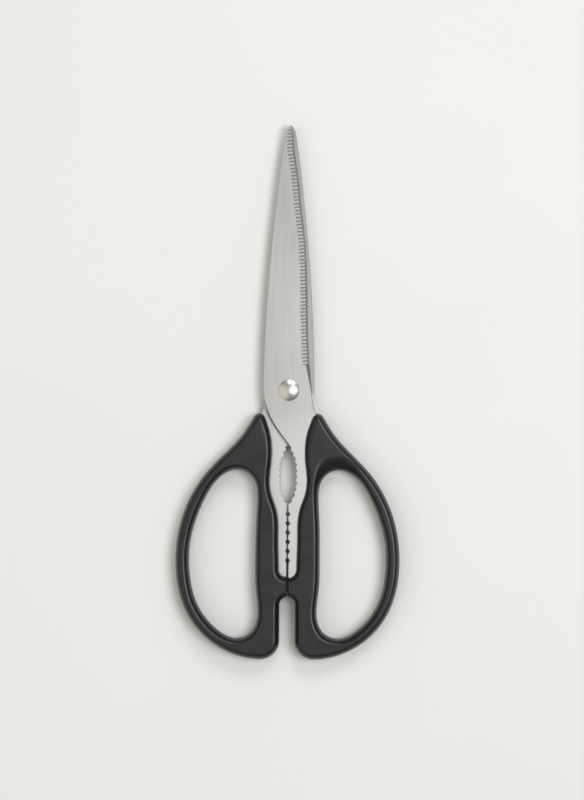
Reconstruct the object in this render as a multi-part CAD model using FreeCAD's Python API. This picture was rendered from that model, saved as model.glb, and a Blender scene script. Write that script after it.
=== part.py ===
import FreeCAD, Part
import math
import os

# Poultry shears, closed and lying flat on their back.
# Frame: X across the shears, Y from the pivot towards the blade tips, Z up from
# the surface they lie on. The pivot axis is the Z axis, and the origin is the
# centre of the pivot nut's flat back face.
# The front half is described. The rear half is the same shape turned over about
# the Y direction at MID_Z, but its blade is not serrated and holds the screw.

V = FreeCAD.Vector

# ---- Driving dimensions, mm ------------------------------------------------

GRIP_THICKNESS = 11.0          # moulded grips, measured square to the table
MID_Z = GRIP_THICKNESS / 2     # plane between the two blades
PLATE = 2.5                    # blade and tang sheet
BLADE_GAP = 0.1                # between the two blades' inner faces
TIP_Y = 119.2                  # blade tips
SERRATED_TO_Y = 11.5           # the toothed bevel stops here, near the pivot
BEVEL_END_Y = -1.5             # the plain bevel has run out here
BEVEL_WIDTH = 3.4
BEVEL_SHARE = 0.85             # of the blade's width, the most that it takes near the tip
BEVEL_SLOPE = 0.03             # of its wide part; beside the edge it is steep
STEEP_WIDTH = 0.85
STEEP_SHARE = 0.3              # of the bevel's width, the most that is steep
NARROW_BEVEL_SHARE = (0.5, 0.15)  # of the full width, where it starts and has run out
NARROW_LAND_SHARE = (0.3, 0.9)    # of the edge's full height that is left there
BEVEL_OVERRUN = 0.3            # share by which the grinder's cut passes both edges
BEVEL_STATIONS = (0, 0.06, 0.12, 0.2, 0.28, 0.36, 0.44, 0.52, 0.6, 0.68, 0.76, 0.84, 0.92, 1)
EDGE_LAND = 0.4                # thickness left at the cutting edge
TIP_THINNING = 1.0             # the outer face slopes in by this much at the tip
THINNING_FROM_Y = 10.0

GROOVE_PITCH = 1.57            # serrations along the edge
GROOVE_FIRST_Y = 117.0
GROOVE_RADIUS = 0.4
GROOVE_DEPTH = 0.2             # below the bevel's wide part
GROOVE_SLANT = 0.4             # the outer end stands this much nearer the tip
GROOVE_OVERRUN = 1.1           # the cutter's length over the bevel's

SEAM_HALF_GAP = 0.15           # between the tangs' meeting edges
TANG_END_HALF_GAP = 0.4        # below the gripping notches
SCALLOP_DEPTH = 0.7            # of the round bites between the opening's teeth
NOTCH_COUNT = 6                # gripping notches below the opening
NOTCH_PITCH = 4.16
NOTCH_FIRST_Y = -55.5
NOTCH_HEIGHT = 2.6
NOTCH_DEPTH = 0.9

NUB_HALF_GAP = 0.22            # between the two grips where they meet
ARCH_RADIUS = 3.4              # notch between the two lower legs
ARCH_CENTRE_Y = -96.3
FOOT_RADIUS = 8.5              # rounded lower corner beside the notch
FOOT_Y = -120.8                # lowest point of the grips
WINDOW_RADIUS = 3.65           # round foot of the window that shows the tangs
WINDOW_CENTRE_Y = -80.2
HORN_RADIUS = 2.9              # rounded upper end of a grip
HORN_CENTRE = (13.1, -13.3)
HORN_INNER_TURN = 160.0        # degrees, where the horn's arc meets the inner edge
HORN_OUTER_TURN = 31.0         # and the outer edge
GRIP_EDGE_RADIUS = 2.4

HEAD_DIAMETER = 9.5            # polished pivot head
HEAD_RIM = 0.35
HEAD_HEIGHT = 1.5              # rim and dome together
HEAD_PLAY = 0.03               # under the head, so that the front blade turns
JOURNAL_DIAMETER = 5.0         # the front blade turns on this
JOURNAL_CLEARANCE = 0.04       # radial, in the front blade's bore
KEYED_FLATS = 4.0              # across the two flats held by the rear blade
KEYED_CLEARANCE = 0.02
THREAD_DIAMETER = 4.0
NUT_ACROSS_FLATS = 8.0
NUT_CHAMFER = 0.5
SPRING_WASHER_DIAMETER = 8.6
SPRING_WASHER_SHEET = 0.4
SPRING_WASHER_RISE = 0.15
FRICTION_WASHER_DIAMETER = 12.0
FRICTION_WASHER_SHEET = 0.5
FRICTION_WASHER_PLAY = 0.03    # above it, and around it in the front blade

ANCHOR_HOLES = (               # tang holes that the grip plastic fills: x, y, diameter
    (13.0, -22.0, 4.5),
    (6.9, -58.0, 2.8),
    (6.9, -74.0, 2.8),
)

# ---- Levels worked out from them -------------------------------------------

FRONT_INNER_Z = MID_Z + BLADE_GAP / 2
FRONT_OUTER_Z = FRONT_INNER_Z + PLATE
REAR_INNER_Z = MID_Z - BLADE_GAP / 2
REAR_OUTER_Z = REAR_INNER_Z - PLATE
NUT_TOP_Z = REAR_OUTER_Z - SPRING_WASHER_SHEET - SPRING_WASHER_RISE
FRICTION_WASHER_Z = MID_Z - FRICTION_WASHER_SHEET / 2

# ---- Outlines of the front half, seen from above ---------------------------

TIP = (-0.1, TIP_Y)

# Back of the blade from the tip down, then the shoulder that crosses to the
# meeting line of the two tangs.
SPINE = [
    TIP, (-1.25, 118.0), (-2.4, 114.3), (-3.5, 107.1), (-4.9, 96.3),
    (-6.5, 81.9), (-7.95, 67.6), (-9.2, 53.2), (-10.15, 38.8),
    (-10.85, 24.4), (-11.3, 10.0), (-11.2, -2.0), (-9.2, -10.7),
    (-6.3, -16.0), (-2.4, -21.4), (SEAM_HALF_GAP, -24.7),
]

# Tips of the teeth along one side of the toothed opening, from its top down.
TEETH = [
    SPINE[-1], (1.03, -26.9), (2.04, -29.3), (2.94, -31.95), (3.28, -34.6),
    (3.28, -37.3), (3.33, -40.1), (3.17, -42.9), (2.72, -45.6), (1.89, -48.1),
    (SEAM_HALF_GAP, -50.7),
]

# Cutting edge from the tip down to the horn of the grip.
EDGE = [
    TIP, (0.55, 117.6), (1.45, 110.7), (3.4, 96.3), (5.1, 81.0), (6.5, 70.0),
    (7.35, 60.4), (7.85, 48.0), (8.2, 33.0), (8.75, 18.0), (9.35, 10.0),
    (10.0, 3.0), (10.5, -3.0), (11.2, -7.9), (12.5, -11.5),
]

# Side of the tang that is hidden in the grip, from the horn down.
TANG_HIDDEN = [
    (12.5, -11.5), (14.6, -18.0), (13.4, -29.0), (11.2, -41.0),
    (9.6, -54.0), (9.3, -66.0), (9.2, -82.0),
]
TANG_CORNER_RADIUS = 4.0
TANG_END_Y = -87.0

GRIP_INNER = [                 # plastic edge beside the tang, from its end up
    (WINDOW_RADIUS, WINDOW_CENTRE_Y), (3.98, -67.0), (4.08, -58.5), (5.1, -52.7),
    (7.1, -47.0), (8.0, -39.5), (7.25, -32.0), (7.1, -25.5), (8.15, -18.5),
]
GRIP_OUTER = [                 # from below the horn round the bow to the foot
    (20.8, -20.0), (29.1, -29.0), (37.5, -38.0), (44.8, -50.0), (48.8, -62.0),
    (50.35, -76.0), (49.1, -89.0), (44.7, -101.0), (37.8, -110.0),
    (29.7, -116.0), (21.6, -119.4),
]
FINGER_HOLE = [
    (23.5, -35.8), (30.9, -39.5), (37.1, -48.5), (41.9, -60.5), (44.1, -72.5),
    (43.8, -82.5), (41.3, -94.0), (36.4, -102.5), (30.1, -108.5), (23.0, -111.3),
    (16.2, -108.6), (13.4, -102.0), (14.1, -90.5), (14.5, -76.0),
    (14.2, -58.0), (13.8, -47.0), (15.0, -40.8), (18.5, -37.0),
]


# ---- Small helpers -----------------------------------------------------------

def flat(point, z=0.0):
    """A plan point as a vector at height z."""
    return V(point[0], point[1], z)


def smooth(points, closed=False):
    """One smooth curve through plan points."""
    curve = Part.BSplineCurve()
    curve.interpolate([flat(p) for p in points], PeriodicFlag=closed)
    return curve.toShape()


def smooth_between(points, start_turn, end_turn):
    """A smooth curve that leaves and arrives in given directions, in degrees."""
    curve = Part.BSplineCurve()
    curve.interpolate(
        Points=[flat(p) for p in points],
        InitialTangent=flat(on_circle((0, 0), 1, start_turn)),
        FinalTangent=flat(on_circle((0, 0), 1, end_turn)))
    return curve.toShape()


def on_circle(centre, radius, turn):
    angle = math.radians(turn)
    return (centre[0] + radius * math.cos(angle), centre[1] + radius * math.sin(angle))


def turn_arc(centre, radius, start_turn, end_turn):
    """Part of a circle between two directions, in degrees."""
    middle = (start_turn + end_turn) / 2
    return arc(*[on_circle(centre, radius, t) for t in (start_turn, middle, end_turn)])


def line(start, end):
    return Part.LineSegment(flat(start), flat(end)).toShape()


def arc(start, middle, end):
    return Part.Arc(flat(start), flat(middle), flat(end)).toShape()


def slab(edges, bottom_z, thickness):
    """A closed plan outline as a plate."""
    wire = Part.Wire(Part.__sortEdges__(edges))
    plate = Part.Face(wire).extrude(V(0, 0, thickness))
    plate.translate(V(0, 0, bottom_z))
    return plate


def disc(diameter, bottom_z, top_z, centre=(0.0, 0.0)):
    return Part.makeCylinder(diameter / 2, top_z - bottom_z, flat(centre, bottom_z))


def turned(profile):
    """A ring from a closed profile of (radius, z) corners."""
    corners = [V(r, 0, z) for r, z in profile]
    face = Part.Face(Part.makePolygon(corners + corners[:1]))
    return face.revolve(V(0, 0, 0), V(0, 0, 1), 360)


def lofted(sections):
    """A solid through closed sections, with its faces outwards."""
    solid = Part.makeLoft(sections, True, True)
    if solid.Volume < 0:
        solid.reverse()
    return solid


def turn_over(shape):
    """The other half's copy: half a turn about the Y direction at MID_Z."""
    other = shape.copy()
    other.rotate(V(0, 0, MID_Z), V(0, 1, 0), 180)
    return other


def outline_x(points, y):
    """X at a given y on the smooth curve through points that run down in y."""
    curve = smooth(points).discretize(Number=300)
    for above, below in zip(curve, curve[1:]):
        if below.y <= y <= above.y:
            share = (above.y - y) / (above.y - below.y)
            return above.x + (below.x - above.x) * share
    raise ValueError("no outline at y = %g" % y)


# ---- Meeting edge of a tang --------------------------------------------------

def opening_edge():
    """One side of the toothed opening: a wave through the teeth and the bites between."""
    wave = [TEETH[0]]
    for above, below in zip(TEETH, TEETH[1:]):
        step = flat(below) - flat(above)
        outward = V(-step.y, step.x, 0).normalize()
        bite = flat(above) + step * 0.5 + outward * SCALLOP_DEPTH
        wave += [(bite.x, bite.y), below]
    return smooth(wave)


def gripping_edges():
    """Straight meeting edge with V notches, from the opening to the tang's end."""
    corners = [TEETH[-1]]
    for i in range(NOTCH_COUNT):
        y = NOTCH_FIRST_Y - i * NOTCH_PITCH
        after_x = SEAM_HALF_GAP if i < NOTCH_COUNT - 1 else TANG_END_HALF_GAP
        corners.append((SEAM_HALF_GAP, y + NOTCH_HEIGHT / 2))
        corners.append((SEAM_HALF_GAP + NOTCH_DEPTH, y))
        corners.append((after_x, y - NOTCH_HEIGHT / 2))
    corners.append((TANG_END_HALF_GAP, TANG_END_Y + TANG_CORNER_RADIUS))
    return [line(a, b) for a, b in zip(corners, corners[1:])]


def tang_end_edges():
    """Rounded foot of the tang, inside the grip."""
    r = TANG_CORNER_RADIUS
    centre = (TANG_END_HALF_GAP + r, TANG_END_Y + r)
    half = r * math.sqrt(0.5)
    outer = TANG_HIDDEN[-1]
    foot = (centre[0], TANG_END_Y)
    return [
        arc((TANG_END_HALF_GAP, centre[1]), (centre[0] - half, centre[1] - half), foot),
        line(foot, (outer[0], TANG_END_Y)),
        line((outer[0], TANG_END_Y), outer),
    ]


# ---- Blades --------------------------------------------------------------------

def face_z(y):
    """Height of the front blade's outer face."""
    share = max(0.0, (y - THINNING_FROM_Y) / (TIP_Y - THINNING_FROM_Y))
    return FRONT_OUTER_Z - TIP_THINNING * share


def blade_blank():
    """Sheet blank of blade and tang, thinned towards the tip."""
    outline = [smooth(SPINE), smooth(EDGE), smooth(TANG_HIDDEN)]
    outline += [opening_edge()] + gripping_edges() + tang_end_edges()
    blank = slab(outline, FRONT_INNER_Z, PLATE)
    past_tip = TIP_Y + 5
    above = FRONT_OUTER_Z + 2
    wedge = Part.makePolygon([
        V(0, THINNING_FROM_Y, FRONT_OUTER_Z), V(0, past_tip, face_z(past_tip)),
        V(0, past_tip, above), V(0, THINNING_FROM_Y, above),
        V(0, THINNING_FROM_Y, FRONT_OUTER_Z),
    ])
    reach = 20
    cutter = Part.Face(wedge).extrude(V(2 * reach, 0, 0))
    cutter.translate(V(-reach, 0, 0))
    return blank.cut(cutter)


def bevel_section(x, y, width, steep, land):
    """What the grinder takes at one place: all above a shallow slope and a steep one."""
    top = face_z(y)
    over = BEVEL_OVERRUN
    knee = V(x - steep, y, top - BEVEL_SLOPE * (width - steep))
    drop = knee.z - (FRONT_INNER_Z + land)
    inner = V(x - width * (1 + over), y, top + BEVEL_SLOPE * width * over)
    outer = V(x + steep * over, y, knee.z - drop * (1 + over))
    above = top + 3
    return Part.makePolygon([
        inner, knee, outer, V(outer.x, y, above), V(inner.x, y, above), inner,
    ])


def bevel_width(x, y):
    """Width of the serrated bevel whose edge is at x, y."""
    return min(BEVEL_WIDTH, BEVEL_SHARE * (x - outline_x(SPINE, y)))


def between(ends, share):
    """A number part of the way from the first of two to the second."""
    return ends[0] + (ends[1] - ends[0]) * share


def bevel_cutters():
    """The wide bevel along the serrations, and the narrow one that runs out."""
    wide = [bevel_section(TIP[0], TIP_Y + 1, 1.0, STEEP_SHARE, EDGE_LAND)]
    for share in BEVEL_STATIONS:
        y = between((EDGE[1][1], SERRATED_TO_Y), share)
        x = outline_x(EDGE, y)
        width = bevel_width(x, y)
        steep = min(STEEP_WIDTH, STEEP_SHARE * width)
        wide.append(bevel_section(x, y, width, steep, EDGE_LAND))
    narrow = []
    for share in (0.0, 0.5, 1.0):
        y = between((SERRATED_TO_Y + 0.2, BEVEL_END_Y), share)
        width = BEVEL_WIDTH * between(NARROW_BEVEL_SHARE, share)
        land = between((EDGE_LAND, PLATE), between(NARROW_LAND_SHARE, share))
        narrow.append(bevel_section(outline_x(EDGE, y), y, width, width, land))
    return [lofted(wide), lofted(narrow)]


def groove_cutters():
    """Round-bottomed grooves across the bevel, along its wide part's slope."""
    cutters = []
    count = int((GROOVE_FIRST_Y - SERRATED_TO_Y) / GROOVE_PITCH) + 1
    for i in range(count):
        y = GROOVE_FIRST_Y - i * GROOVE_PITCH
        x = outline_x(EDGE, y)
        width = bevel_width(x, y)
        inner_z = face_z(y) + GROOVE_RADIUS - GROOVE_DEPTH
        inner = V(x - width, y - GROOVE_SLANT, inner_z)
        along = V(x, y, inner_z - BEVEL_SLOPE * width) - inner
        length = along.Length * GROOVE_OVERRUN
        cutters.append(Part.makeCylinder(GROOVE_RADIUS, length, inner, along))
    return cutters


def anchor_holes():
    return [disc(d, FRONT_INNER_Z, FRONT_OUTER_Z, (x, y)) for x, y, d in ANCHOR_HOLES]


def front_blade():
    washer_pocket = disc(
        FRICTION_WASHER_DIAMETER + 2 * FRICTION_WASHER_PLAY, FRONT_INNER_Z,
        FRICTION_WASHER_Z + FRICTION_WASHER_SHEET + FRICTION_WASHER_PLAY)
    bore = disc(JOURNAL_DIAMETER + 2 * JOURNAL_CLEARANCE, FRONT_INNER_Z, FRONT_OUTER_Z)
    shape = blade_blank().cut(bevel_cutters())
    shape = shape.cut(groove_cutters())
    return shape.cut([washer_pocket, bore] + anchor_holes())


def keyed_shank(bottom_z, top_z, play=0.0):
    """Round shank with two flats, grown all round by play."""
    shank = disc(JOURNAL_DIAMETER + 2 * play, bottom_z, top_z)
    across = KEYED_FLATS + 2 * play
    reach = JOURNAL_DIAMETER
    between_flats = Part.makeBox(
        across, 2 * reach, top_z - bottom_z, V(-across / 2, -reach, bottom_z))
    return shank.common(between_flats)


def rear_blade():
    plain = blade_blank().cut(bevel_cutters())
    plain = plain.cut(anchor_holes())
    keyway = keyed_shank(REAR_OUTER_Z, REAR_INNER_Z, KEYED_CLEARANCE)
    washer_pocket = disc(FRICTION_WASHER_DIAMETER, FRICTION_WASHER_Z, REAR_INNER_Z)
    return turn_over(plain).cut([keyway, washer_pocket])


# ---- Grips ---------------------------------------------------------------------

def grip_edges():
    """Plan outline of the right-hand grip, with its nub carried on past the seam."""
    horn_inner = on_circle(HORN_CENTRE, HORN_RADIUS, HORN_INNER_TURN)
    horn_outer = on_circle(HORN_CENTRE, HORN_RADIUS, HORN_OUTER_TURN)
    foot_centre = (ARCH_RADIUS + FOOT_RADIUS, FOOT_Y + FOOT_RADIUS)
    foot = on_circle(foot_centre, FOOT_RADIUS, 270)
    nub_low = ARCH_CENTRE_Y + ARCH_RADIUS
    nub_high = WINDOW_CENTRE_Y - WINDOW_RADIUS
    nub_radius = (nub_high - nub_low) / 2
    past = -nub_radius
    return [
        smooth_between(GRIP_INNER + [horn_inner], 90, HORN_INNER_TURN - 90),
        turn_arc(HORN_CENTRE, HORN_RADIUS, HORN_INNER_TURN, HORN_OUTER_TURN),
        smooth_between([horn_outer] + GRIP_OUTER + [foot], HORN_OUTER_TURN - 90, 180),
        turn_arc(foot_centre, FOOT_RADIUS, 270, 180),
        line((ARCH_RADIUS, foot_centre[1]), (ARCH_RADIUS, ARCH_CENTRE_Y)),
        turn_arc((0, ARCH_CENTRE_Y), ARCH_RADIUS, 0, 90),
        line((0, nub_low), (past, nub_low)),
        turn_arc((past, nub_low + nub_radius), nub_radius, -90, -270),
        line((past, nub_high), (0, nub_high)),
        turn_arc((0, WINDOW_CENTRE_Y), WINDOW_RADIUS, -90, 0),
    ]


def grip_blank():
    """Solid grip with a finger hole and rounded edges, before its tang slot."""
    body = slab(grip_edges(), 0, GRIP_THICKNESS)
    body = body.cut(slab([smooth(FINGER_HOLE, closed=True)], 0, GRIP_THICKNESS))
    rims = []
    for edge in body.Edges:
        box = edge.BoundBox
        if abs(box.ZMax - box.ZMin) < 0.001:
            rims.append(edge)
    body = body.makeFillet(GRIP_EDGE_RADIUS, rims)
    reach = 50
    past_seam = Part.makeBox(
        reach, 4 * reach, GRIP_THICKNESS, V(NUB_HALF_GAP - reach, -3 * reach, 0))
    return body.cut(past_seam)


def front_grip():
    """Right-hand grip, moulded round the front blade's tang and its holes."""
    return grip_blank().cut(blade_blank().cut(anchor_holes()))


# ---- Pivot ---------------------------------------------------------------------

def pivot_screw():
    """Domed head, round journal, flats in the rear blade, threaded end at Z = 0."""
    seat_z = FRONT_OUTER_Z + HEAD_PLAY
    rim_z = seat_z + HEAD_RIM
    rise = HEAD_HEIGHT - HEAD_RIM
    half = HEAD_DIAMETER / 2
    dome_radius = (half ** 2 + rise ** 2) / (2 * rise)
    dome = Part.makeSphere(dome_radius, V(0, 0, rim_z + rise - dome_radius))
    head = disc(HEAD_DIAMETER, seat_z, rim_z)
    head = head.fuse(dome.common(disc(HEAD_DIAMETER, rim_z, rim_z + HEAD_HEIGHT)))
    journal = disc(JOURNAL_DIAMETER, REAR_INNER_Z, seat_z)
    keyed = keyed_shank(REAR_OUTER_Z, REAR_INNER_Z)
    thread = disc(THREAD_DIAMETER, 0, REAR_OUTER_Z)
    return head.fuse([journal, keyed, thread]).removeSplitter()


def friction_washer():
    top = FRICTION_WASHER_Z + FRICTION_WASHER_SHEET
    bore = disc(JOURNAL_DIAMETER + 2 * JOURNAL_CLEARANCE, FRICTION_WASHER_Z, top)
    return disc(FRICTION_WASHER_DIAMETER, FRICTION_WASHER_Z, top).cut(bore)


def spring_washer():
    """Dished washer: its rim bears on the rear blade, its bore on the nut."""
    inner = THREAD_DIAMETER / 2 + 0.15
    outer = SPRING_WASHER_DIAMETER / 2
    sheet = SPRING_WASHER_SHEET
    return turned([
        (inner, NUT_TOP_Z), (outer, NUT_TOP_Z + SPRING_WASHER_RISE),
        (outer, REAR_OUTER_Z), (inner, NUT_TOP_Z + sheet),
    ])


def pivot_nut():
    """Low hexagon nut with a flat back face at Z = 0."""
    corner = NUT_ACROSS_FLATS / math.sqrt(3)
    hexagon = []
    for i in range(7):
        turn = math.radians(60 * i)
        hexagon.append(V(corner * math.cos(turn), corner * math.sin(turn), 0))
    body = Part.Face(Part.makePolygon(hexagon)).extrude(V(0, 0, NUT_TOP_Z))
    rounder = turned([
        (0, 0), (corner - NUT_CHAMFER, 0), (corner, NUT_CHAMFER),
        (corner, NUT_TOP_Z), (0, NUT_TOP_Z),
    ])
    return body.common(rounder).cut(disc(THREAD_DIAMETER, 0, NUT_TOP_Z))


# ---- One file per piece --------------------------------------------------------

def write(name, shape):
    solids = shape.Solids
    if len(solids) != 1 or not shape.isValid():
        raise ValueError("%s: %d solids, valid %s" % (name, len(solids), shape.isValid()))
    solids[0].exportStep("parts/%s.step" % name)
    box = solids[0].BoundBox
    print("%-16s %9.1f mm3  x %.2f..%.2f  y %.2f..%.2f  z %.2f..%.2f" % (
        name, solids[0].Volume, box.XMin, box.XMax, box.YMin, box.YMax, box.ZMin, box.ZMax))


os.makedirs("parts", exist_ok=True)
right_grip = front_grip()
write("front_blade", front_blade())
write("rear_blade", rear_blade())
write("front_grip", right_grip)
write("rear_grip", turn_over(right_grip))
write("pivot_screw", pivot_screw())
write("friction_washer", friction_washer())
write("spring_washer", spring_washer())
write("pivot_nut", pivot_nut())
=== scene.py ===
"""Poultry shears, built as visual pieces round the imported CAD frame.

The file is laid out as an add-on and is run as a script. The pieces' sizes are in
millimetres until a mesh is written. The stage's are in metres, as Blender's are.
X runs across the shears, Y from the pivot to the tips, Z upwards, and the
pivot's axis is the Z axis.
"""
import math

import bpy
import numpy as np
from bpy.props import FloatProperty, FloatVectorProperty, IntProperty, PointerProperty
from bpy.types import Operator, Panel, PropertyGroup
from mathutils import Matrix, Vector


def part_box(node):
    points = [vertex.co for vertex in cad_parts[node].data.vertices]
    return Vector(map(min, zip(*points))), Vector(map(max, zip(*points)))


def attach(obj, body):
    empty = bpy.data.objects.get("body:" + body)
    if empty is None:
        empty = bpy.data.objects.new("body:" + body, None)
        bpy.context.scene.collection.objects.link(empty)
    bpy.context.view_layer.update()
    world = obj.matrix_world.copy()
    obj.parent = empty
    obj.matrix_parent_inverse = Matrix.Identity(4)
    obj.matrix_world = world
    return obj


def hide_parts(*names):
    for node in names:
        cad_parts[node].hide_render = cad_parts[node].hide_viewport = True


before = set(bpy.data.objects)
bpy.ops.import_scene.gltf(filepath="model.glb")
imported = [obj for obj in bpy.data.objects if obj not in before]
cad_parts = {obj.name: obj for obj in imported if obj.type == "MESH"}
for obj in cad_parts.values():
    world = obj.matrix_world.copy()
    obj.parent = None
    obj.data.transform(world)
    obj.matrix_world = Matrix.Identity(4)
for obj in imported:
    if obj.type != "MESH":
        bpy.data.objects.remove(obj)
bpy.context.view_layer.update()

bl_info = {
    "name": "Poultry shears",
    "version": (1, 0, 0),
    "blender": (4, 5, 0),
    "location": "View3D > Sidebar > Shears",
    "description": "Blades, grips, pivot and studio stage of a pair of poultry shears",
    "category": "Object",
}

MM = 0.001


def linear(hex_colour):
    """An sRGB hex colour as linear red, green and blue."""
    parts = [int(hex_colour[i:i + 2], 16) / 255 for i in (1, 3, 5)]
    return tuple(c / 12.92 if c <= 0.04045 else ((c + 0.055) / 1.055) ** 2.4 for c in parts)


# ---- Sizes that the pieces share, in millimetres ------------------------------

THICKNESS = 11.0               # of the grips, and of the whole shears
MID_Z = THICKNESS / 2          # the two blades meet here
BLADE_GAP = 0.1
PLATE = 2.5
TIP_Y = 119.2
THINNING_FROM_Y = 10.0
TIP_THINNING = 1.0
SEAM_HALF_GAP = 0.15

# Tips of the teeth along one side of the opening between the tangs, from its top down.
TEETH = [
    (0.15, -24.7), (1.03, -26.9), (2.04, -29.3), (2.94, -31.95), (3.28, -34.6),
    (3.28, -37.3), (3.33, -40.1), (3.17, -42.9), (2.72, -45.6), (1.89, -48.1),
    (0.15, -50.7),
]
SCALLOP_DEPTH = 0.7            # of the round bite between two teeth
NOTCH_FIRST_Y = -55.5
NOTCH_PITCH = 4.16
NOTCH_COUNT = 6
NOTCH_HALF_HEIGHT = 1.3
NOTCH_DEPTH = 0.9
TANG_END_HALF_GAP = 0.4
TANG_END_Y = -87.0
TANG_CORNER = 4.0

SERRATED_TO_Y = 11.5
BEVEL_END_Y = -1.5

# The front blade's back from the tip down, with the shoulder to the tangs.
SPINE = [
    (-0.1, 119.2), (-1.25, 118.0), (-2.4, 114.3), (-3.5, 107.1), (-4.9, 96.3),
    (-6.5, 81.9), (-7.95, 67.6), (-9.2, 53.2), (-10.15, 38.8), (-10.85, 24.4),
    (-11.3, 10.0), (-11.2, -2.0), (-9.2, -10.7), (-6.3, -16.0), (-2.4, -21.4),
    (0.15, -24.7),
]
# Its cutting edge from the tip down to the horn of the grip.
EDGE = [
    (-0.1, 119.2), (0.55, 117.6), (1.45, 110.7), (3.4, 96.3), (5.1, 81.0),
    (6.5, 70.0), (7.35, 60.4), (7.85, 48.0), (8.2, 33.0), (8.75, 18.0),
    (9.35, 10.0), (10.0, 3.0), (10.5, -3.0), (11.2, -7.9), (12.5, -11.5),
]
# The side of the tang that is buried in the grip.
TANG_HIDDEN = [
    (12.5, -11.5), (14.6, -18.0), (13.4, -29.0), (11.2, -41.0), (9.6, -54.0),
    (9.3, -66.0), (9.2, -82.0), (9.2, -87.0),
]
# The grip's edge beside the tang, from the window up to the horn.
GRIP_INNER = [
    (3.65, -80.2), (3.98, -67.0), (4.08, -58.5), (5.1, -52.7), (7.1, -47.0),
    (8.0, -39.5), (7.25, -32.0), (7.1, -25.5), (8.15, -18.5),
]
# The grip's outside, from below the horn round the bow to the foot.
GRIP_OUTER = [
    (20.8, -20.0), (29.1, -29.0), (37.5, -38.0), (44.8, -50.0), (48.8, -62.0),
    (50.35, -76.0), (49.1, -89.0), (44.7, -101.0), (37.8, -110.0),
    (29.7, -116.0), (21.6, -119.4),
]
FINGER_HOLE = [
    (23.5, -35.8), (30.9, -39.5), (37.1, -48.5), (41.9, -60.5), (44.1, -72.5),
    (43.8, -82.5), (41.3, -94.0), (36.4, -102.5), (30.1, -108.5), (23.0, -111.3),
    (16.2, -108.6), (13.4, -102.0), (14.1, -90.5), (14.5, -76.0),
    (14.2, -58.0), (13.8, -47.0), (15.0, -40.8), (18.5, -37.0),
]
NUB_HALF_GAP = 0.22
ARCH = (0.0, -96.3, 3.4)       # centre and radius of the notch between the legs
WINDOW = (0.0, -80.2, 3.65)    # round foot of the window that shows the tangs
FOOT = (11.9, -112.3, 8.5)
HORN = (13.1, -13.3, 2.9)
HORN_TURNS = (160.0, 31.0)     # degrees, where the horn's arc starts and ends


# ---- Properties ------------------------------------------------------------------

class ShearsSizes(PropertyGroup):
    """Sizes that change how the shears look without changing their outline."""
    grip_edge: FloatProperty(
        name="Grip edge", description="How far in the grip's edge starts to round over",
        default=2.7 * MM, min=0.5 * MM, max=3.0 * MM, unit="LENGTH", precision=5)
    dish_width: FloatProperty(
        name="Dish width", description="Extra width of the finger dish at the hole's top",
        default=3.8 * MM, min=0.0, max=6.0 * MM, unit="LENGTH", precision=5)
    groove_pitch: FloatProperty(
        name="Groove pitch", description="Distance between grooves along the cutting edge",
        default=1.57 * MM, min=0.5 * MM, max=4.0 * MM, unit="LENGTH", precision=5)
    groove_depth: FloatProperty(
        name="Groove depth", description="Depth of a groove in the bevel",
        default=0.2 * MM, min=0.0, max=0.4 * MM, unit="LENGTH", precision=5)
    head_diameter: FloatProperty(
        name="Pivot head", description="Diameter of the polished pivot head",
        default=9.5 * MM, min=6.0 * MM, max=12.0 * MM, unit="LENGTH", precision=5)
    grip_columns: IntProperty(
        name="Grip columns", description="Steps round a grip's outline",
        default=760, min=200, max=1000)


class ShearsColours(PropertyGroup):
    """Base colours of the finishes."""
    blade: FloatVectorProperty(
        name="Blade steel", description="Ground stainless steel",
        default=linear("#b7b6b2"), subtype="COLOR", min=0, max=1)
    polished: FloatVectorProperty(
        name="Polished steel", description="Polished pivot head",
        default=linear("#c6c5be"), subtype="COLOR", min=0, max=1)
    plastic: FloatVectorProperty(
        name="Grip plastic", description="Moulded black plastic",
        default=linear("#101010"), subtype="COLOR", min=0, max=1)
    floor: FloatVectorProperty(
        name="Floor", description="Pale studio floor",
        default=linear("#ebece6"), subtype="COLOR", min=0, max=1)


# ---- Lines ---------------------------------------------------------------------------

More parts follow.
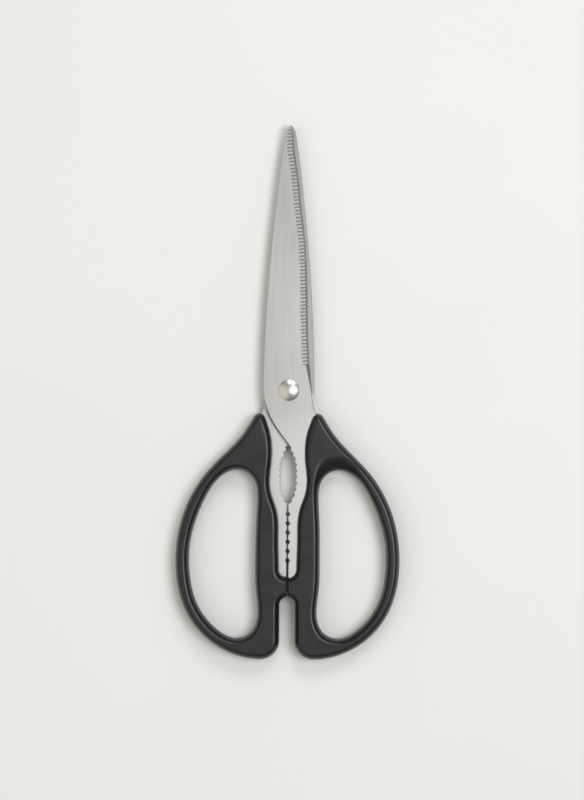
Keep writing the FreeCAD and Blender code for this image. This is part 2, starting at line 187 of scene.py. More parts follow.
def smooth_line(points, count, closed=False, start=None, end=None):
    """A smooth line through points: one cubic per gap, over the length of its chord.

    The slopes at the points solve the set of equations that makes the second
    derivative the same on both sides of each point. An open line has none at its
    ends, unless a direction in degrees is given there, and a closed one goes
    smoothly through its start.
    """
    p = np.array(points, float)
    if closed:
        p = np.vstack([p, p[:1]])
    h = np.linalg.norm(np.diff(p, axis=0), axis=1)
    chord = np.diff(p, axis=0) / h[:, None]
    n = len(p)
    left, right = np.zeros((n, n)), np.zeros((n, 2))
    i = np.arange(1, n - 1)
    left[i, i - 1], left[i, i], left[i, i + 1] = h[i], 2 * (h[i - 1] + h[i]), h[i - 1]
    right[i] = 3 * (h[i, None] * chord[i - 1] + h[i - 1, None] * chord[i])
    left[0, 0], left[0, 1], right[0] = 2, 1, 3 * chord[0]
    left[-1, -1], left[-1, -2], right[-1] = 2, 1, 3 * chord[-1]
    if closed:
        left[0, :2], left[0, 0], left[0, -1], right[0] = 0, 1, -1, 0
        left[-1, -2], left[-1, -1], left[-1, 1] = h[0], 2 * (h[-1] + h[0]), h[-1]
        right[-1] = 3 * (h[0] * chord[-1] + h[-1] * chord[0])
    for row, turn in ((0, start), (-1, end)):
        if turn is not None:
            left[row] = 0
            left[row, row] = 1
            right[row] = np.cos(np.radians(turn)), np.sin(np.radians(turn))
    slope = np.linalg.solve(left, right)
    t = np.concatenate([[0], np.cumsum(h)])
    s = np.linspace(0, t[-1], count)
    k = np.clip(np.searchsorted(t, s, side="right") - 1, 0, n - 2)
    u, hk = ((s - t[k]) / h[k])[:, None], h[k, None]
    return (p[k] * (1 + 2 * u) * (1 - u) ** 2 + p[k + 1] * u * u * (3 - 2 * u)
            + slope[k] * hk * u * (1 - u) ** 2 + slope[k + 1] * hk * u * u * (u - 1))


def arc_line(circle, start_turn, end_turn, count):
    """Points on a circle (x, y, radius) between two directions in degrees."""
    turns = np.radians(np.linspace(start_turn, end_turn, count))
    x, y, radius = circle
    return np.stack([x + radius * np.cos(turns), y + radius * np.sin(turns)], axis=1)


def x_on(line, y):
    """X where a line that runs down in y has these heights."""
    return np.interp(y, line[::-1, 1], line[::-1, 0])


def even_steps(line, spacing):
    """The same line with its points about spacing apart, its two ends kept."""
    along = np.concatenate([[0], np.cumsum(np.linalg.norm(np.diff(line, axis=0), axis=1))])
    count = max(2, int(round(along[-1] / spacing)) + 1)
    s = np.linspace(0, along[-1], count)
    return np.stack([np.interp(s, along, line[:, i]) for i in (0, 1)], axis=1)


def distance_to(points, line):
    """Distance from each point to the nearest place on a line of short pieces."""
    nearest = np.empty(len(points))
    a, ab = line[:-1], np.diff(line, axis=0)
    length2 = (ab ** 2).sum(axis=1)
    a, ab, length2 = (v[length2 > 0] for v in (a, ab, length2))
    for start in range(0, len(points), 4000):
        p = points[start:start + 4000, None, :]
        share = np.clip(((p - a) * ab).sum(axis=2) / length2, 0, 1)
        gap = p - a - share[..., None] * ab
        nearest[start:start + 4000] = np.sqrt((gap ** 2).sum(axis=2).min(axis=1))
    return nearest


# ---- Meshes --------------------------------------------------------------------------

def skin(name, grid, finishes, finish_numbers=None, ring=False, crease=35.0):
    """One closed mesh over a grid of points, in millimetres.

    Each row of the grid is a closed loop. Neighbouring rows are joined by quads.
    A ring's last row joins its first; otherwise each end is closed by one face.
    The faces are turned so that the volume they enclose is positive. An edge whose
    faces turn by more than the crease, in degrees, stays sharp.
    """
    rows, around = grid.shape[:2]
    numbers = np.arange(rows * around).reshape(rows, around)
    low = numbers if ring else numbers[:-1]
    high = np.roll(numbers, -1, axis=0) if ring else numbers[1:]
    quads = np.stack([low, np.roll(low, -1, 1), np.roll(high, -1, 1), high], axis=-1)
    quads = quads.reshape(-1, 4)
    ends = [] if ring else [numbers[0][::-1], numbers[-1]]
    points = grid.reshape(-1, 3) * MM
    a, b, c, d = (points[quads[:, i]] for i in range(4))
    volume = (np.cross(b - a, c - a) * a).sum() + (np.cross(c - a, d - a) * a).sum()
    if volume < 0:
        quads = quads[:, ::-1]
        ends = [end[::-1] for end in ends]
    mesh = bpy.data.meshes.new(name)
    mesh.from_pydata(points.tolist(), [], quads.tolist() + [end.tolist() for end in ends])
    for finish in finishes:
        mesh.materials.append(finish)
    if finish_numbers is not None:
        index = np.zeros(len(mesh.polygons), np.int32)
        index[:len(quads)] = finish_numbers.reshape(-1)
        mesh.polygons.foreach_set("material_index", index)
    mesh.shade_smooth()
    mesh.set_sharp_from_angle(angle=math.radians(crease))
    mesh.validate()
    piece = bpy.data.objects.new(name, mesh)
    bpy.context.scene.collection.objects.link(piece)
    return piece


def turned_over(grid):
    """The other half's points: half a turn about the Y direction at the middle height."""
    over = grid.copy()
    over[..., 0] = -grid[..., 0]
    over[..., 2] = THICKNESS - grid[..., 2]
    return over


def turned_grid(profile, steps):
    """Points of a turned part: the profile's radius and height carried round Z."""
    profile = np.array(profile, float)
    turn = np.linspace(0, 2 * np.pi, steps, endpoint=False)
    r, z = profile[:, :1], profile[:, 1:]
    return np.stack([r * np.cos(turn), r * np.sin(turn), z + 0 * turn], axis=-1)


# ---- Materials -------------------------------------------------------------------------

def add_node(material, kind, values=(), links=(), stops=(), **settings):
    """One node: its attributes, socket values, ramp stops, and links into its inputs."""
    tree = material.node_tree
    made = tree.nodes.new(kind)
    for name, value in settings.items():
        setattr(made, name, value)
    for name, value in dict(values).items():
        made.inputs[name].default_value = value
    for name, source in dict(links).items():
        tree.links.new(source, made.inputs[name])
    if stops:
        ramp = made.color_ramp.elements
        for i, (place, colour) in enumerate(stops):
            stop = ramp[i] if i < len(ramp) else ramp.new(place)
            stop.position = place
            stop.color = (*colour, 1)
    return made


def new_finish(name):
    """A material with no nodes in it yet."""
    material = bpy.data.materials.new(name)
    material.use_nodes = True
    material.node_tree.nodes.clear()
    return material


def place_mm(material, stretch=(1, 1, 1)):
    """Object coordinates in millimetres, divided by how long the pattern is each way."""
    coordinates = add_node(material, "ShaderNodeTexCoord")
    scale = [1 / (MM * s) for s in stretch]
    return add_node(material, "ShaderNodeMapping", {"Scale": scale},
                    {"Vector": coordinates.outputs["Object"]}).outputs["Vector"]


def finish_off(material, values, links):
    """The shader and its output."""
    shader = add_node(material, "ShaderNodeBsdfPrincipled", values, links)
    add_node(material, "ShaderNodeOutputMaterial", links={"Surface": shader.outputs[0]})
    return material


def shade(colour, factor):
    """A colour made lighter or darker."""
    return tuple(min(1.0, c * factor) for c in colour[:3])


def ground_steel(name, colour, stretch, roughness, depth):
    """Stainless steel ground on a belt: grey, with fine lines along the belt's run.

    The eye sees a soft sheen that is drawn out across the lines. The belt leaves
    lines about 0.05 mm wide. They are drawn a few tenths wide, so that they show, and
    they change the shade and the surface a little, and wide clouds the roughness.
    The tangs are left as they come from tumbling: paler and duller, with a fine
    speckle. Stretch is how long the lines' pattern is in X, Y and Z.
    """
    tang_starts, tang_whole = -8.0, -30.0   # Y between which the tang's look fades in
    tang_duller = 0.1                       # added to the roughness there
    material = new_finish(name)
    lines = add_node(material, "ShaderNodeTexNoise", {"Scale": 1.0, "Detail": 3.0},
                     {"Vector": place_mm(material, stretch)})
    clouds = add_node(material, "ShaderNodeTexNoise", {"Scale": 1.0, "Detail": 1.0},
                      {"Vector": place_mm(material, (14, 30, 14))})
    tone = add_node(material, "ShaderNodeValToRGB", links={"Fac": lines.outputs["Fac"]},
                    stops=((0.3, shade(colour, 0.93)), (0.7, shade(colour, 1.06))))
    rough = add_node(material, "ShaderNodeMapRange",
                     {"From Min": 0.3, "From Max": 0.7,
                      "To Min": roughness - 0.02, "To Max": roughness + 0.02},
                     {"Value": clouds.outputs["Fac"]})
    bump = add_node(material, "ShaderNodeBump", {"Strength": 0.5, "Distance": depth * MM},
                    {"Height": lines.outputs["Fac"]})
    speckle = add_node(material, "ShaderNodeTexNoise", {"Scale": 1.0, "Detail": 2.0},
                       {"Vector": place_mm(material, (0.5, 0.5, 0.5))})
    pale = add_node(material, "ShaderNodeValToRGB", links={"Fac": speckle.outputs["Fac"]},
                    stops=((0.3, shade(colour, 0.96)), (0.7, shade(colour, 1.15))))
    place = add_node(material, "ShaderNodeSeparateXYZ", links={"Vector": place_mm(material)})
    on_tang = add_node(material, "ShaderNodeMapRange",
                       {"From Min": tang_starts, "From Max": tang_whole},
                       {"Value": place.outputs["Y"]})
    base = add_node(material, "ShaderNodeMix",
                    links={0: on_tang.outputs["Result"], 6: tone.outputs["Color"],
                           7: pale.outputs["Color"]}, data_type="RGBA")
    duller = add_node(material, "ShaderNodeMath", {1: tang_duller},
                      {0: on_tang.outputs["Result"], 2: rough.outputs["Result"]},
                      operation="MULTIPLY_ADD")
    return finish_off(
        material, {"Metallic": 1.0},
        {"Base Color": base.outputs[2], "Roughness": duller.outputs["Value"],
         "Normal": bump.outputs["Normal"]})


def polished_steel(colour):
    """Stainless steel polished on a mop, with faint haze and wipe marks.

    The eye sees small bright highlights whose edges are soft.
    """
    material = new_finish("stainless_steel_polished")
    haze = add_node(material, "ShaderNodeTexNoise", {"Scale": 1.0, "Detail": 4.0},
                    {"Vector": place_mm(material, (1.6, 1.6, 1.6))})
    rough = add_node(material, "ShaderNodeMapRange",
                     {"From Min": 0.3, "From Max": 0.7, "To Min": 0.27, "To Max": 0.35},
                     {"Value": haze.outputs["Fac"]})
    tone = add_node(material, "ShaderNodeValToRGB", links={"Fac": haze.outputs["Fac"]},
                    stops=((0.3, shade(colour, 0.95)), (0.7, colour[:3])))
    return finish_off(material, {"Metallic": 1.0},
                      {"Base Color": tone.outputs["Color"],
                       "Roughness": rough.outputs["Result"]})


def moulded_plastic(colour):
    """Black polypropylene from a spark-eroded mould: satin, with a fine even grain.

    The eye sees deep black with broad, dim highlights along the rounded edges. The
    grain is about 0.1 mm in the mould. It is drawn 0.35 mm, so that it shows.
    """
    material = new_finish("polypropylene_moulded_satin")
    grain = add_node(material, "ShaderNodeTexNoise", {"Scale": 1.0, "Detail": 2.0},
                     {"Vector": place_mm(material, (0.35, 0.35, 0.35))})
    clouds = add_node(material, "ShaderNodeTexNoise", {"Scale": 1.0, "Detail": 2.0},
                      {"Vector": place_mm(material, (9, 9, 9))})
    tone = add_node(material, "ShaderNodeValToRGB", links={"Fac": clouds.outputs["Fac"]},
                    stops=((0.3, shade(colour, 0.85)), (0.7, shade(colour, 1.15))))
    rough = add_node(material, "ShaderNodeMapRange",
                     {"From Min": 0.3, "From Max": 0.7, "To Min": 0.29, "To Max": 0.37},
                     {"Value": clouds.outputs["Fac"]})
    bump = add_node(material, "ShaderNodeBump", {"Strength": 0.25, "Distance": 0.02 * MM},
                    {"Height": grain.outputs["Fac"]})
    return finish_off(
        material, {"IOR": 1.49},
        {"Base Color": tone.outputs["Color"], "Roughness": rough.outputs["Result"],
         "Normal": bump.outputs["Normal"]})


def rolled_sheet(name, hex_colour, roughness):
    """Metal from rolled stock, plated, tempered or plain, for the nut and the washers.

    The eye sees an even shade with faint rolling streaks.
    """
    material = new_finish(name)
    colour = linear(hex_colour)
    streaks = add_node(material, "ShaderNodeTexNoise", {"Scale": 1.0, "Detail": 3.0},
                       {"Vector": place_mm(material, (0.3, 5, 0.3))})
    tone = add_node(material, "ShaderNodeValToRGB", links={"Fac": streaks.outputs["Fac"]},
                    stops=((0.3, shade(colour, 0.85)), (0.7, shade(colour, 1.1))))
    rough = add_node(material, "ShaderNodeMapRange",
                     {"From Min": 0.3, "From Max": 0.7,
                      "To Min": roughness - 0.06, "To Max": roughness + 0.06},
                     {"Value": streaks.outputs["Fac"]})
    return finish_off(material, {"Metallic": 1.0},
                      {"Base Color": tone.outputs["Color"],
                       "Roughness": rough.outputs["Result"]})


def matt_board(colour):
    """Smooth board with matt paint: pale and even, with hardly any gloss."""
    material = new_finish("painted_board_matt")
    clouds = add_node(material, "ShaderNodeTexNoise", {"Scale": 1.0, "Detail": 3.0},
                      {"Vector": place_mm(material, (120, 120, 120))})
    tone = add_node(material, "ShaderNodeValToRGB", links={"Fac": clouds.outputs["Fac"]},
                    stops=((0.3, shade(colour, 0.99)), (0.7, shade(colour, 1.01))))
    return finish_off(material, {"Roughness": 0.75, "Specular IOR Level": 0.2},
                      {"Base Color": tone.outputs["Color"]})


# ---- Blades --------------------------------------------------------------------------

BEVEL_WIDTH = 3.4              # of the serrated bevel
BEVEL_SHARE = 0.85             # of the blade's width, the most that a bevel takes
BEVEL_SLOPE = 0.03             # of its wide part; beside the edge it is steep
STEEP_WIDTH = 0.85
STEEP_SHARE = 0.3              # of the bevel's width, the most that is steep
RUNOUT_WIDTHS = (1.75, 0.25)   # of the plain bevel, where it starts and has run out
RUNOUT_DROPS = (1.5, 0.2)      # how far it falls to the edge there
EDGE_LAND = 0.4                # thickness left at the cutting edge
INNER_CHAMFER = 0.12           # between the inner face and the back; no part is thinner
BACK_EASE = 0.25               # rounding of the back's upper corner
SHOULDER_EASE = 0.62           # its width on the shoulder
SHOULDER_DROP = 1.4            # and its depth
SHOULDER_YS = (-10, -3)        # it grows from the back's to the shoulder's here
FIRST_GROOVE = 2.2             # from the tip
GROOVE_SLANT = 0.4             # a groove's outer end stands this much nearer the tip
GROOVE_SHARE = 0.44            # of the pitch; the rest is land


def scallop_line():
    """The opening's side: a smooth wave through the teeth and the bites between them.

    A bite is deepest beside the middle of the straight line between two teeth, at the
    scallop's depth outwards from it, square to it.
    """
    teeth = np.array(TEETH)
    step = np.diff(teeth, axis=0)
    outward = np.stack([-step[:, 1], step[:, 0]], axis=1)
    outward /= np.linalg.norm(outward, axis=1, keepdims=True)
    wave = np.empty((2 * len(teeth) - 1, 2))
    wave[::2] = teeth
    wave[1::2] = teeth[:-1] + step / 2 + outward * SCALLOP_DEPTH
    return smooth_line(wave, 1200)


def meeting_x(y):
    """X of the front tang's meeting edge: scallops, then a straight edge with notches."""
    corners_y, corners_x = [TEETH[-1][1]], [SEAM_HALF_GAP]
    for n in range(NOTCH_COUNT):
        middle = NOTCH_FIRST_Y - n * NOTCH_PITCH
        after = SEAM_HALF_GAP if n < NOTCH_COUNT - 1 else TANG_END_HALF_GAP
        corners_y += [middle + NOTCH_HALF_HEIGHT, middle, middle - NOTCH_HALF_HEIGHT]
        corners_x += [SEAM_HALF_GAP, SEAM_HALF_GAP + NOTCH_DEPTH, after]
    notched = np.interp(-y, [-c for c in corners_y], corners_x)
    foot = np.clip((TANG_END_Y + TANG_CORNER - y) / TANG_CORNER, 0, 1)
    notched = notched + TANG_CORNER * (1 - np.sqrt(1 - foot ** 2))
    return np.where(y > TEETH[-1][1], x_on(scallop_line(), y), notched)


def blade_stations(pitch):
    """Y of the rows: close together over the grooves, the teeth and the notches."""
    step = pitch / 12
    just = 0.005               # two rows this far apart make an upright step
    plain_ys = [-53.0, -78.6, -81.0]   # above and below the notches
    notch_ys = NOTCH_FIRST_Y - np.arange(NOTCH_COUNT)[:, None] * NOTCH_PITCH
    notch_ys = notch_ys + np.linspace(-1, 1, 9) * NOTCH_HALF_HEIGHT
    toothed = np.interp(np.linspace(0, len(TEETH) - 1, 16 * (len(TEETH) - 1) + 1),
                        np.arange(len(TEETH)), [tooth[1] for tooth in TEETH])
    parts = [
        TIP_Y - 1.2 * np.linspace(0.02, 1, 10) ** 2,
        np.arange(TIP_Y - 1.3, SERRATED_TO_Y, -step),
        [SERRATED_TO_Y, SERRATED_TO_Y - just],
        np.linspace(SERRATED_TO_Y - 0.4, TEETH[0][1] + 0.3, 90),
        toothed, notch_ys.ravel(), plain_ys,
        TANG_END_Y + TANG_CORNER * (1 - np.linspace(0, 0.99, 8)),
    ]
    return np.unique(np.round(np.concatenate(parts), 4))[::-1]


def blade_grid(sizes, grooved):
    """Points of a blade, and which of its quads are ground crosswise.

    A row is the closed cross-section at one Y: up the back, over its eased corner,
    across the face, down the bevel, over the cutting edge and back on the inside.
    The bevel falls slowly and then, beside the edge, steeply. Across a groove the depth
    follows one plus the cosine of the distance from its middle, halved. It grows from
    nothing to its full depth just past the bevel's start. The land between two grooves
    stays flat. The bevel and the inner face are ground crosswise, and their steel is
    painted darker there, as shade. The blade is whole at the pivot, where the screw,
    its nut and the washers cover it.
    """
    pitch, depth = sizes.groove_pitch / MM, sizes.groove_depth / MM
    y = blade_stations(pitch)
    spine = smooth_line(SPINE, 1500)
    edge = smooth_line(EDGE, 1500)
    hidden = smooth_line(TANG_HIDDEN, 500)
    on_blade = y > TEETH[0][1]
    x_left = np.where(on_blade, x_on(spine, y), meeting_x(y))
    x_right = np.where(y > EDGE[-1][1], x_on(edge, y), x_on(hidden, y))

    inner_z = MID_Z + BLADE_GAP / 2
    thinning = np.clip((y - THINNING_FROM_Y) / (TIP_Y - THINNING_FROM_Y), 0, 1)
    top_z = inner_z + PLATE - TIP_THINNING * thinning
    across = x_right - x_left
    ease = np.minimum(np.interp(y, SHOULDER_YS, (SHOULDER_EASE, BACK_EASE)), 0.2 * across)
    ease = np.where(on_blade, ease, BACK_EASE)
    ease_drop = np.interp(y, SHOULDER_YS, (SHOULDER_DROP, BACK_EASE))
    ease_drop = np.where(on_blade, ease_drop, BACK_EASE)

    # The wide serrated bevel, then the plain narrow one that runs out.
    runout = np.clip((SERRATED_TO_Y - y) / (SERRATED_TO_Y - BEVEL_END_Y), 0, 1)
    serrated = y >= SERRATED_TO_Y
    width = np.where(serrated, BEVEL_WIDTH, np.interp(runout, (0, 1), RUNOUT_WIDTHS))
    width = np.minimum(width, BEVEL_SHARE * across)
    steep = np.where(serrated, np.minimum(STEEP_WIDTH, STEEP_SHARE * width), width - 0.02)
    shallow_drop = np.where(serrated, BEVEL_SLOPE * (width - steep), 0.0)
    drop = np.where(serrated, top_z - (inner_z + EDGE_LAND),
                    np.interp(runout, (0, 1), RUNOUT_DROPS))

    shallow_steps = np.concatenate([[0, 0.03, 0.06], np.linspace(0.1, 1, 11)])
    steep_steps = np.array([0.25, 0.6, 1.0])
    inner_x = (x_right - width)[:, None]
    knee_x = (x_right - steep)[:, None]
    bevel_x = np.concatenate([inner_x + (knee_x - inner_x) * shallow_steps,
                              knee_x + steep[:, None] * steep_steps], axis=1)
    fall = np.concatenate([
        shallow_drop[:, None] * shallow_steps,
        shallow_drop[:, None] + (drop - shallow_drop)[:, None] * steep_steps], axis=1)
    bevel_z = top_z[:, None] - fall
    share = (bevel_x - inner_x) / width[:, None]
    if grooved:
        first = TIP_Y - FIRST_GROOVE
        last = first - pitch * np.floor((first - SERRATED_TO_Y) / pitch)
        middle_y = y[:, None] - GROOVE_SLANT * (share - 1)
        offset = (middle_y - first + pitch / 2) % pitch - pitch / 2
        inside = serrated[:, None] & (middle_y < first + pitch / 2)
        inside &= middle_y > last - pitch / 2
        deep = depth * np.clip((share - 0.02) / 0.05, 0, 1)
        wide = GROOVE_SHARE * pitch
        cut = deep * (1 + np.cos(2 * np.pi * np.clip(offset / wide, -0.5, 0.5))) / 2
        bevel_z = bevel_z - np.where(inside, cut, 0)
    bevel_z = np.maximum(bevel_z, inner_z + INNER_CHAMFER)

    def column(x, z):
        return np.stack([x + 0 * y, y, z + 0 * y], axis=-1)

    face_x = x_left + ease
    face_shares = np.linspace(0, 1, 7)
    diagonal = math.sqrt(0.5)
    columns = [
        column(x_left, inner_z + INNER_CHAMFER),
        column(x_left, top_z - ease_drop),
        column(x_left + ease * (1 - diagonal), top_z - ease_drop * (1 - diagonal)),
        column(face_x, top_z),
    ]
    near = np.minimum(0.06, 0.02 * across)   # keeps the face flat right up to its edges
    flat_from, flat_to = face_x + near, inner_x[:, 0] - near
    columns += [column(flat_from + (flat_to - flat_from) * s, top_z) for s in face_shares]
    bevel_from = len(columns)
    columns += [column(bevel_x[:, i], bevel_z[:, i]) for i in range(bevel_x.shape[1])]
    columns += [column(x_right, inner_z)]
    inside_x = x_left + np.minimum(INNER_CHAMFER, 0.1 * across)
    columns += [column(x_right + (inside_x - x_right) * s, inner_z) for s in (0.2, 0.5, 0.8, 1)]
    grid = np.stack(columns, axis=1)
    crosswise = np.zeros(grid.shape[:2], np.int32)[:-1]
    crosswise[y[:-1] > BEVEL_END_Y, bevel_from:] = 1
    return grid, crosswise


# ---- Grips ---------------------------------------------------------------------------

OUTLINE_LENGTH = 330.0         # about, round one grip
HOLE_CENTRE = (29.0, -75.0)    # a place inside the finger hole
MOST_ROUNDED = 0.46            # of the grip's width, what one rounded edge may take
NUB_PAST = 4.0                 # the nub's outline is carried this far past the seam
NUB_EASE = 0.35                # rounding where the two grips meet
SMOOTHING = 15                 # columns each side that the edge's slant is averaged over
DISH_TURN = 101                # degrees, the direction of the finger dish's middle
DISH_HALF_SPREAD = 13          # degrees
DISH_SOFTNESS = 0.6            # taken off the ellipse's power in the dish


def grip_outline(spacing):
    """The right grip's plan outline, and the same with its nub carried past the seam."""
    horn_start = arc_line(HORN, HORN_TURNS[0], HORN_TURNS[0], 1)[0]
    horn_end = arc_line(HORN, HORN_TURNS[1], HORN_TURNS[1], 1)[0]
    foot_low = (FOOT[0], FOOT[1] - FOOT[2])
    seam_turn = math.degrees(math.asin(NUB_HALF_GAP / WINDOW[2]))
    arch_turn = math.degrees(math.asin(NUB_HALF_GAP / ARCH[2]))
    window = arc_line(WINDOW, -90 + seam_turn, 0, 60)
    arch = arc_line(ARCH, 0, 90 - arch_turn, 60)
    lines = [
        window,
        smooth_line([*GRIP_INNER, horn_start], 900, start=90, end=HORN_TURNS[0] - 90),
        arc_line(HORN, *HORN_TURNS, 80),
        smooth_line([horn_end, *GRIP_OUTER, foot_low], 1500, start=HORN_TURNS[1] - 90, end=180),
        arc_line(FOOT, 270, 180, 90),
        np.array([(ARCH[2], FOOT[1]), (ARCH[2], ARCH[1])]),
        arch,
    ]
    seam = np.array([arch[-1], window[0]])
    ring = [even_steps(line, spacing)[:-1] for line in lines + [seam]]
    open_line = [even_steps(line, 0.25) for line in lines]
    carried = [np.array([(-NUB_PAST, window[0][1])]), *open_line,
               np.array([(-NUB_PAST, arch[-1][1])])]
    return np.vstack(ring), np.vstack(carried)


def eased(distance, reach, power=2.0):
    """Share of the full height at a distance in from an edge that rounds over."""
    p = 1 - np.clip(distance / reach, 0, 1)
    return np.sqrt(np.maximum(0, 1 - p ** power))


def grip_grid(sizes):
    """Points of the right grip.

    In plan, each grid line runs from the outline straight to the finger hole, on a
    ray from a centre inside the hole. The height above and below the middle is half
    the thickness times three shares: one for the outline, one for the hole and one
    for the seam. Each share rises on an ellipse with the distance from its edge.
    On top, the hole's share rises more slowly round the upper end: the finger dish.
    The grip is whole where the tang goes in, and the blade's own tang ends inside it.
    """
    reach = sizes.grip_edge / MM
    centre = np.array(HOLE_CENTRE)
    ring, carried = grip_outline(OUTLINE_LENGTH / sizes.grip_columns)
    hole = smooth_line(FINGER_HOLE, 1400, closed=True)

    def polar(points):
        gap = points - centre
        return np.arctan2(gap[:, 1], gap[:, 0]), np.linalg.norm(gap, axis=1)

    turn, far = polar(ring)
    hole_turn, hole_far = polar(hole)
    order = np.argsort(hole_turn)
    near = np.interp(turn, hole_turn[order], hole_far[order], period=2 * np.pi)
    length = far - near

    def slant_of(loop_turn, loop_far):
        """Cosine between the ray and the edge's normal, smoothed round the loop."""
        d_far = np.roll(loop_far, -1) - np.roll(loop_far, 1)
        d_turn = np.angle(np.exp(1j * (np.roll(loop_turn, -1) - np.roll(loop_turn, 1))))
        cosine = 1 / np.sqrt(1 + (d_far / (np.abs(d_turn) * loop_far + 1e-9)) ** 2)
        padded = np.concatenate([cosine[-SMOOTHING:], cosine, cosine[:SMOOTHING]])
        window = np.ones(2 * SMOOTHING + 1) / (2 * SMOOTHING + 1)
        return np.clip(np.convolve(padded, window, "valid"), 0.3, 1)

    steps = 1 - np.cos(np.linspace(0, np.pi / 2, 14))
    outer_reach = np.minimum(reach / slant_of(turn, far), MOST_ROUNDED * length)
    hole_reach = np.minimum(reach / slant_of(turn, near), MOST_ROUNDED * length)
    first = outer_reach[:, None] * steps
    last = length[:, None] - hole_reach[:, None] * steps[::-1]
    shares = np.linspace(0, 1, 14)[1:-1]
    middle = first[:, -1:] + (last[:, :1] - first[:, -1:]) * shares
    inward = np.concatenate([first, middle, last], axis=1)
    ray = np.stack([np.cos(turn), np.sin(turn)], axis=1)
    plan = centre + ray[:, None] * (far[:, None] - inward)[..., None]

    flat = plan.reshape(-1, 2)
    from_outline = distance_to(flat, carried).reshape(plan.shape[:2])
    from_hole = distance_to(flat, np.vstack([hole, hole[:1]])).reshape(plan.shape[:2])
    from_seam = plan[..., 0] - NUB_HALF_GAP
    from_hole[:, -1] = 0
    on_edge = from_outline[:, 0] < 0.02
    from_outline[on_edge, 0] = 0

    around = np.degrees(turn)[:, None]
    dish = 1 / (1 + ((around - DISH_TURN) / DISH_HALF_SPREAD) ** 6)
    plain = eased(from_outline, reach) * eased(from_seam, NUB_EASE)
    above = plain * eased(from_hole, reach + dish * sizes.dish_width / MM,
                          2 - DISH_SOFTNESS * dish)
    below = plain * eased(from_hole, reach)
    top = np.concatenate([plan, (MID_Z * (1 + above))[..., None]], axis=-1)
    bottom = np.concatenate([plan, (MID_Z * (1 - below))[..., None]], axis=-1)
    return np.concatenate([top, bottom[:, -2:0:-1]], axis=1)


# ---- Pivot ---------------------------------------------------------------------------

HEAD_PLAY = 0.03               # under the head, so that the front blade turns
HEAD_RIM = 0.35
DOME_RISE = 1.15
ROUND_STEPS = 96               # round the screw
NUT_STEPS = 144                # round the nut, a whole number to each of its flats
# Radius and height along the lower part of the nut's section, from the bore outwards.
# A radius of 5 is outside the flats, so the hexagon cuts it there.
NUT_LOWER = [(2.3, 0.0), (3.75, 0.0), (4.0, 0.05), (4.3, 0.22), (5, 0.55)]


# ---- Operators -----------------------------------------------------------------------

def settings():
    """Sizes and colours in use."""
    scene = bpy.context.scene
    return scene.shears_sizes, scene.shears_colours


def add_piece(piece, body, slot, *nodes):
    """The piece moves with a body and stands for CAD nodes, which it hides. The slot is not used.
    """
    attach(piece, body)
    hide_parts(*nodes)


class SHEARS_OT_blades(Operator):
    """Make the grooved front blade and the plain rear blade, each with its tang"""
    bl_idname = "shears.blades"
    bl_label = "Blades"

    def execute(self, context):
        sizes, colours = settings()
        lengthwise = ground_steel("stainless_steel_ground_lengthwise", colours.blade,
                                  (0.4, 25, 0.4), 0.34, 0.012)
        # The bevels and the inner faces take the blade's steel at 0.72 of its brightness. Their
        # crosswise lines are the grinding's. The darkening is painted shade, for the dimmer light
        # that these slopes catch.
        crosswise = ground_steel("stainless_steel_ground_crosswise_painted_shade",
                                 shade(colours.blade, 0.72), (3.0, 0.3, 3.0), 0.38, 0.008)
        finishes = [lengthwise, crosswise]
        grid, finish_numbers = blade_grid(sizes, grooved=True)
        front = skin("blade_front_grooved", grid, finishes, finish_numbers, crease=28)
        add_piece(front, "front_half", "blade_steel", "front_blade")
        grid, finish_numbers = blade_grid(sizes, grooved=False)
        rear = skin("blade_rear_plain", turned_over(grid), finishes, finish_numbers, crease=28)
        add_piece(rear, "rear_half", "blade_steel", "rear_blade")
        return {"FINISHED"}


class SHEARS_OT_grips(Operator):
    """Make the two moulded grips"""
    bl_idname = "shears.grips"
    bl_label = "Grips"

    def execute(self, context):
        sizes, colours = settings()
        plastic = [moulded_plastic(colours.plastic)]
        grid = grip_grid(sizes)
        right = skin("grip_right", grid, plastic, ring=True, crease=50)
        add_piece(right, "front_half", "grip_plastic", "front_grip")
        left = skin("grip_left", turned_over(grid), plastic, ring=True, crease=50)
        add_piece(left, "rear_half", "grip_plastic", "rear_grip")
        return {"FINISHED"}


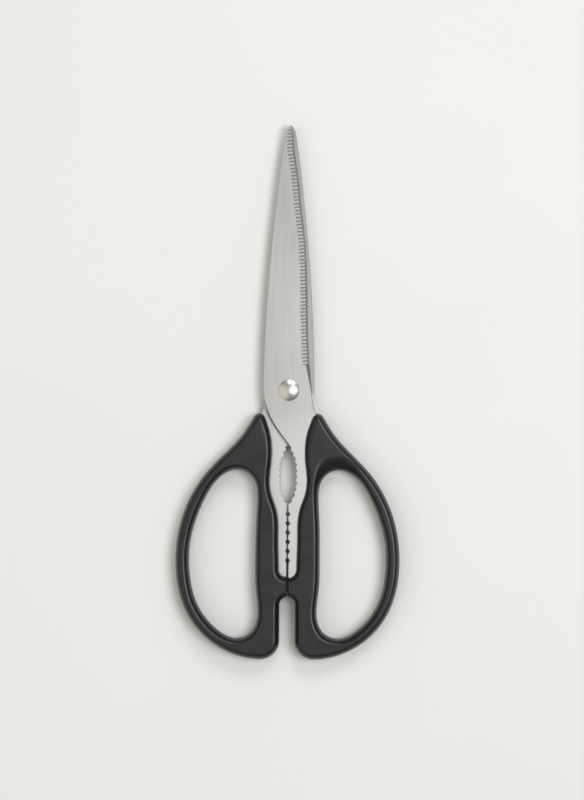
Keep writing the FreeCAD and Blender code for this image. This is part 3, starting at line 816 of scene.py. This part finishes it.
class SHEARS_OT_pivot(Operator):
    """Make the pivot's polished head and shank and its nut, and finish its washers"""
    bl_idname = "shears.pivot"
    bl_label = "Pivot"

    def execute(self, context):
        sizes, colours = settings()
        half = sizes.head_diameter / MM / 2
        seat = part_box("front_blade")[1].z / MM + HEAD_PLAY
        # The dome is the top of a ball through the head's rim.
        ball = (half ** 2 + DOME_RISE ** 2) / (2 * DOME_RISE)
        ball_z = seat + HEAD_RIM + DOME_RISE - ball
        tilt = np.linspace(0.01, 1, 28) * math.asin(half / ball)
        dome = np.stack([ball * np.sin(tilt), ball_z + ball * np.cos(tilt)], axis=1)
        # The rim, the journal in the front blade, and the thinner threaded end.
        shank = [
            (half - 0.02, seat + HEAD_RIM * 0.75), (half - 0.03, seat + 0.08),
            (half - 0.12, seat), (2.6, seat), (2.5, seat - 0.1), (2.5, MID_Z),
            (2.45, 5.4), (2.0, 5.2), (2.0, 0.3), (1.75, 0.02), (0.05, 0.02),
        ]
        head = skin("pivot_head_domed", turned_grid([*dome.tolist(), *shank], ROUND_STEPS),
                    [polished_steel(colours.polished)], crease=30)
        add_piece(head, "rear_half", "polished_steel", "pivot_screw")

        # The nut's radius is the section's, or the hexagon's where that is less.
        low, high = (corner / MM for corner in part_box("pivot_nut"))
        half_flats = (high.y - low.y) / 2
        upper = [(5, high.z - 0.1), (4.5, high.z), (2.1, high.z), (2.05, high.z - 0.1),
                 (2.05, 0.25)]
        profile = np.array(NUT_LOWER + upper)
        grid = turned_grid(profile, NUT_STEPS)
        turn = np.linspace(0, 2 * np.pi, NUT_STEPS, endpoint=False)
        to_flat = half_flats / np.cos((turn + math.pi / 6) % (math.pi / 3) - math.pi / 6)
        radius = np.minimum(profile[:, :1], to_flat)
        grid[..., 0], grid[..., 1] = radius * np.cos(turn), radius * np.sin(turn)
        nut = skin("pivot_nut_hexagon", grid,
                   [rolled_sheet("steel_zinc_plated", "#b9bbbc", 0.32)], ring=True, crease=30)
        add_piece(nut, "rear_half", "fastener_steel", "pivot_nut")

        washers = {
            "friction_washer": rolled_sheet("bronze_sheet_rolled", "#c29a62", 0.3),
            "spring_washer": rolled_sheet("spring_steel_tempered", "#8b8d90", 0.28),
        }
        for name, finish in washers.items():
            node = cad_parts[name]
            node.material_slots[0].link = "OBJECT"
            node.material_slots[0].material = finish
        return {"FINISHED"}


class SHEARS_OT_stage(Operator):
    """Make the pale floor, the soft lights and the camera"""
    bl_idname = "shears.stage"
    bl_label = "Studio stage"

    def execute(self, context):
        colours = settings()[1]
        scene = context.scene
        reach = 3.0
        mesh = bpy.data.meshes.new("floor")
        corners = [(-reach, -reach, 0), (reach, -reach, 0), (reach, reach, 0), (-reach, reach, 0)]
        mesh.from_pydata(corners, [], [(0, 1, 2, 3)])
        mesh.materials.append(matt_board(colours.floor))
        floor = bpy.data.objects.new("floor", mesh)
        scene.collection.objects.link(floor)

        # Softboxes: a place, a size across and along, a power and a tint.
        softboxes = {
            "softbox_right": ((0.61, 0.05, 1.42), (0.75, 0.75), 11.2, "#f5f9ff"),
            "softbox_far": ((0.30, 1.02, 1.08), (1.0, 0.5), 5.6, "#fbfdff"),
            "softbox_left": ((-0.85, -0.25, 1.20), (2.4, 1.8), 8.0, "#fff8ee"),
        }
        for name, (place, size, power, tint) in softboxes.items():
            light = bpy.data.lights.new(name, "AREA")
            light.shape = "ELLIPSE"
            light.size, light.size_y = size
            light.energy = power
            light.color = linear(tint)
            lamp = bpy.data.objects.new(name, light)
            scene.collection.objects.link(lamp)
            lamp.location = place
            lamp.rotation_euler = (-lamp.location).to_track_quat("-Z", "Y").to_euler()

        world = bpy.data.worlds.new("studio_room")
        scene.world = world
        world.use_nodes = True
        background = world.node_tree.nodes["Background"]
        background.inputs["Color"].default_value = (*linear("#f4f4f0"), 1)
        background.inputs["Strength"].default_value = 0.32

        # From straight above, the view takes in this much at the blades' height. It
        # stands a little off the pivot and is turned by about half a degree.
        view_height, distance = 0.3594, 1.2
        camera = bpy.data.cameras.new("camera")
        camera.sensor_width = 36.0
        camera.lens = camera.sensor_width * (distance - MID_Z * MM) / view_height
        viewer = bpy.data.objects.new("camera", camera)
        scene.collection.objects.link(viewer)
        viewer.location = (0.00144, -0.0043, distance)
        viewer.rotation_euler = (0, 0, math.radians(0.47))
        scene.camera = viewer
        scene.view_settings.view_transform = "Standard"
        return {"FINISHED"}


class SHEARS_PT_panel(Panel):
    """Lists the steps that build the shears, with their sizes and colours"""
    bl_idname = "SHEARS_PT_panel"
    bl_label = "Poultry shears"
    bl_space_type = "VIEW_3D"
    bl_region_type = "UI"
    bl_category = "Shears"

    def draw(self, context):
        layout = self.layout
        for group in settings():
            box = layout.box()
            for name in group.__annotations__:
                box.prop(group, name)
        for step in OPERATORS:
            layout.operator(step.bl_idname)


OPERATORS = (SHEARS_OT_blades, SHEARS_OT_grips, SHEARS_OT_pivot, SHEARS_OT_stage)
CLASSES = (ShearsSizes, ShearsColours, *OPERATORS, SHEARS_PT_panel)


def register():
    for cls in CLASSES:
        bpy.utils.register_class(cls)
    bpy.types.Scene.shears_sizes = PointerProperty(type=ShearsSizes)
    bpy.types.Scene.shears_colours = PointerProperty(type=ShearsColours)


def unregister():
    del bpy.types.Scene.shears_colours
    del bpy.types.Scene.shears_sizes
    for cls in reversed(CLASSES):
        bpy.utils.unregister_class(cls)


def main():
    """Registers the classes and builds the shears."""
    register()
    bpy.ops.shears.blades()
    bpy.ops.shears.grips()
    bpy.ops.shears.pivot()
    bpy.ops.shears.stage()


if __name__ == "__main__":
    main()
